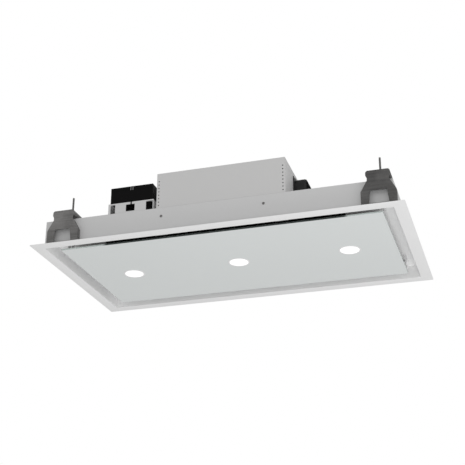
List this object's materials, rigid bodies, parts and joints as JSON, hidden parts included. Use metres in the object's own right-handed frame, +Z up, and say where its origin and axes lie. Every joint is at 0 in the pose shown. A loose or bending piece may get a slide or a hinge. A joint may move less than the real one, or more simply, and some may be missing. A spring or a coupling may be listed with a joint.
{
  "type": "ceiling range hood",
  "caption": "Flat range hood for a ceiling: a flange round a hinged glass panel with spot lights and a suction gap, a plenum with blower box, flat duct collar, control box and clamps.",
  "frame": {"origin": "middle of the flange's back face, in the plane of the ceiling", "axes": "+X along the hood's length towards the duct collar, +Y towards the panel's hinge, +Z up into the ceiling"},
  "size_m": [0.9, 0.5, 0.1605],
  "materials": {
    "white_paint": "white powder coat",
    "zinc_sheet": "galvanised sheet",
    "dark_steel": "dark zinc",
    "screw_steel": "zinc plated",
    "clamp_steel": "dull grey zinc",
    "black_plastic": "matt black",
    "dark_plastic": "dark grey",
    "motor_casting": "bare casting",
    "bush_rubber": "black rubber",
    "board_green": "lacquered board",
    "pale_plastic": "pale moulding",
    "filter_dark": "black coated aluminium",
    "panel_glass": "tempered, painted pale on its back",
    "white_rim": "glossy white",
    "spot_lens": "frosted diffuser",
    "heat_sink": "die cast"
  },
  "bodies": {
    "housing": {"flange_frame": "white_paint", "recess_tray": "white_paint", "plenum_shell": "white_paint", "plenum_braces": "zinc_sheet", "plenum_screws": "dark_steel", "motor_box": "white_paint", "box_screws": "screw_steel", "duct_collar": "black_plastic", "collar_screws": "screw_steel", "inlet_ring": "dark_plastic", "scroll_housing": "dark_plastic", "scroll_cover": "dark_plastic", "motor_body": "motor_casting", "motor_bearings": "screw_steel", "motor_bushes": "bush_rubber", "motor_screws": "screw_steel", "control_stand": "white_paint", "stand_screws": "screw_steel", "control_box": "black_plastic", "control_lid": "black_plastic", "circuit_board": "board_green", "terminal_block": "pale_plastic", "capacitor": "pale_plastic", "light_driver": "pale_plastic", "cable_gland": "black_plastic", "gland_nut": "black_plastic", "clamp_rods": "dark_steel", "rod_nuts": "screw_steel", "filter_frame_left": "filter_dark", "filter_frame_right": "filter_dark", "filter_mesh_left": "filter_dark", "filter_mesh_right": "filter_dark", "hinge_brackets": "clamp_steel", "hinge_pins": "screw_steel", "catch_clips": "clamp_steel"},
    "panel": {"glass_panel": "panel_glass", "panel_tray": "white_paint", "spot_rims": "white_rim", "spot_lenses": "spot_lens", "spot_modules": "heat_sink", "hinge_arms": "zinc_sheet", "catch_studs": "zinc_sheet"},
    "impeller_set": {"impeller": "dark_plastic", "motor_shaft": "screw_steel", "impeller_nut": "screw_steel"},
    "flap": {"backdraft_flap": "black_plastic"},
    "latch_left": {"filter_latch_left": "zinc_sheet"},
    "latch_right": {"filter_latch_right": "zinc_sheet"},
    "clamp_front_left": {"clamp_front_left": "clamp_steel", "nut_front_left": "screw_steel"},
    "clamp_front_right": {"clamp_front_right": "clamp_steel", "nut_front_right": "screw_steel"},
    "clamp_back_left": {"clamp_back_left": "clamp_steel", "nut_back_left": "screw_steel"},
    "clamp_back_right": {"clamp_back_right": "clamp_steel", "nut_back_right": "screw_steel"}
  },
  "joints": [
    {"name": "panel_hinge", "type": "hinge", "parent": "housing", "child": "panel", "pos_m": [0, 0.178, 0.015], "axis": [1, 0, 0], "range_deg": [0, 85]},
    {"name": "impeller_spin", "type": "hinge", "parent": "housing", "child": "impeller_set", "pos_m": [-0.00985, -0.0718, 0.1105], "axis": [0, 0, -1], "continuous": true},
    {"name": "flap_hinge", "type": "hinge", "parent": "housing", "child": "flap", "pos_m": [0.18155, -0.0368, 0.1322], "axis": [0, -1, 0], "range_deg": [0, 80]},
    {"name": "clamp_slide_front_left", "type": "slide", "parent": "housing", "child": "clamp_front_left", "axis": [0, 0, 1], "range_m": [0, 0.035]},
    {"name": "clamp_slide_front_right", "type": "slide", "parent": "housing", "child": "clamp_front_right", "axis": [0, 0, 1], "range_m": [0, 0.035]},
    {"name": "clamp_slide_back_left", "type": "slide", "parent": "housing", "child": "clamp_back_left", "axis": [0, 0, 1], "range_m": [0, 0.035]},
    {"name": "clamp_slide_back_right", "type": "slide", "parent": "housing", "child": "clamp_back_right", "axis": [0, 0, 1], "range_m": [0, 0.035]},
    {"name": "latch_slide_left", "type": "slide", "parent": "housing", "child": "latch_left", "axis": [0, 1, 0], "range_m": [0, 0.005], "stiffness_N_per_m": 200, "springref_m": -0.004},
    {"name": "latch_slide_right", "type": "slide", "parent": "housing", "child": "latch_right", "axis": [0, 1, 0], "range_m": [0, 0.005], "stiffness_N_per_m": 200, "springref_m": -0.004}
  ]
}
